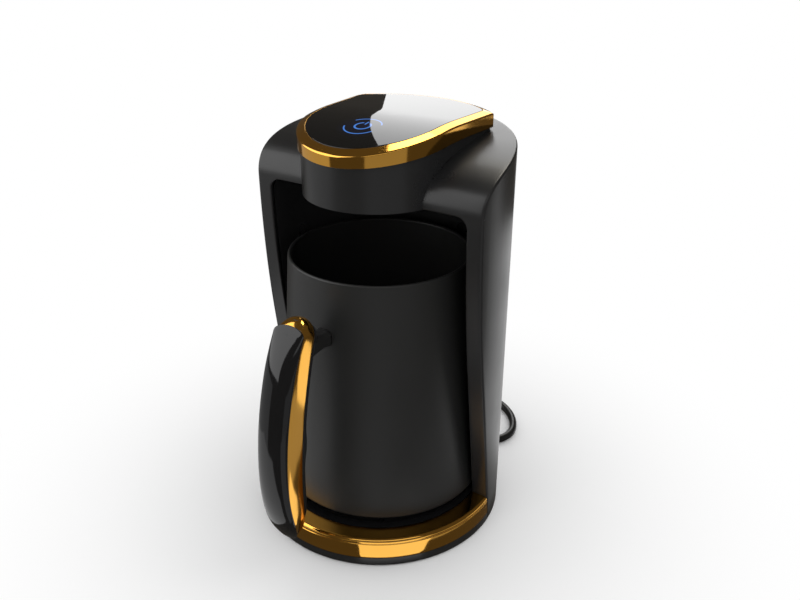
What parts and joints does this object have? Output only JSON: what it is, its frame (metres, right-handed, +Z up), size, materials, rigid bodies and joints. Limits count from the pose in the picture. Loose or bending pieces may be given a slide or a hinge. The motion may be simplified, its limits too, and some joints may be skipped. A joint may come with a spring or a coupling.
{
  "type": "electric turkish coffee maker",
  "caption": "Round electric Turkish coffee maker: bay-fronted housing with a crowned touch head, gold-lipped heated base and a lift-out tapered pot with a curved handle.",
  "frame": {"origin": "on the round body's vertical axis, at the table the foot ring stands on", "axes": "+Z up, -Y towards the front where the pot and its handle come out, +X to the right seen from behind the handle"},
  "size_m": [0.18, 0.2634, 0.2254],
  "materials": {
    "housing": "fine-eroded moulded ABS",
    "gloss_black": "piano-black moulded ABS",
    "gold": "polished, gold anodised",
    "panel_glass": "black back-printed touch glass",
    "plate_metal": "turned cast heating plate",
    "pot_metal": "matt black coated cast pot",
    "disc_metal": "turned heat-spreading disc",
    "soft_black": "moulded elastomer",
    "cable": "flexible lead sheath",
    "silicone": "silicone seal",
    "screw_steel": "zinc plated",
    "pin_metal": "nickel-plated brass",
    "element_metal": "heat-tinted sheath",
    "ceramic_white": "glazed insulator",
    "circuit_board": "solder-masked laminate",
    "board_part": "moulded component bodies",
    "light_diffuser": "milky light guide",
    "sensor_tint": "infrared-pass window",
    "wire_sleeve": "glass-fibre sleeved wire"
  },
  "bodies": {
    "machine": {"outer_shell": "housing", "bay_liner": "housing", "head_housing": "housing", "panel_trim": "gold", "touch_panel": "panel_glass", "light_guide": "light_diffuser", "touch_board": "circuit_board", "touch_leds": "ceramic_white", "control_board": "circuit_board", "board_parts": "board_part", "board_screws": "screw_steel", "buzzer": "board_part", "ribbon_cable": "wire_sleeve", "foam_sensor": "board_part", "sensor_window": "sensor_tint", "base_deck": "gloss_black", "base_trim": "gold", "heating_plate": "plate_metal", "plate_seal": "silicone", "heating_element": "element_metal", "element_terminals": "screw_steel", "temperature_sensor": "ceramic_white", "thermal_fuse": "ceramic_white", "heater_wires": "wire_sleeve", "bottom_cover": "housing", "foot_ring": "soft_black", "bottom_screws": "screw_steel", "cord_gland": "soft_black", "power_cord": "cable", "cord_coil": "cable", "cord_tie": "soft_black", "cord_tail": "cable", "plug_body": "gloss_black", "plug_pins": "pin_metal"},
    "pot": {"pot_body": "pot_metal", "pot_disc": "disc_metal", "handle_bracket": "housing", "handle_screw": "screw_steel", "handle_grip": "housing", "handle_trim": "gold", "handle_cover": "gloss_black"}
  },
  "joints": [
    {"name": "pot_slide", "type": "slide", "parent": "machine", "child": "pot", "axis": [0, -1, 0], "range_m": [0, 0.15]}
  ]
}
